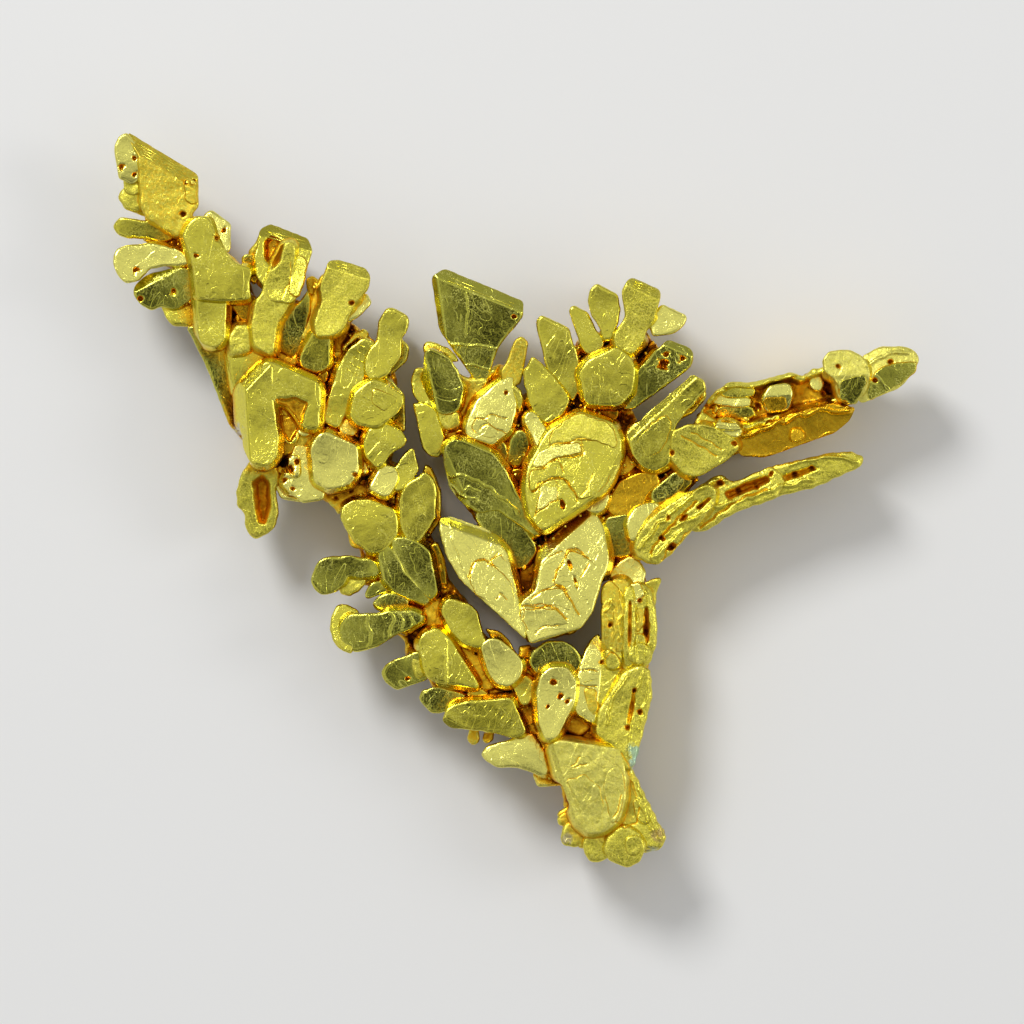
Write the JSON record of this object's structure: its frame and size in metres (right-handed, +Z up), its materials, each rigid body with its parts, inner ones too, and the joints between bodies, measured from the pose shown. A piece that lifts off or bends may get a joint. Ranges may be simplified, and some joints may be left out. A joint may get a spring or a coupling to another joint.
{
  "type": "gold nugget",
  "caption": "Crystallised gold nugget: a branching spray of flat, leaf-like gold crystals grown together, lying on its back.",
  "frame": {"origin": "middle of the nugget's outline, on the surface that it lies on", "axes": "+Z up, out of the side that shows the crystals; +X towards the tips of the two arms; +Y from the narrow foot towards the crest"},
  "size_m": [0.05, 0.0456, 0.0073],
  "materials": {
    "gold": "native gold: mirror-like and satin crystal faces with bright worn rims, and grainy, more orange hollows"
  },
  "bodies": {
    "root": {"nugget": "gold"}
  },
  "joints": []
}
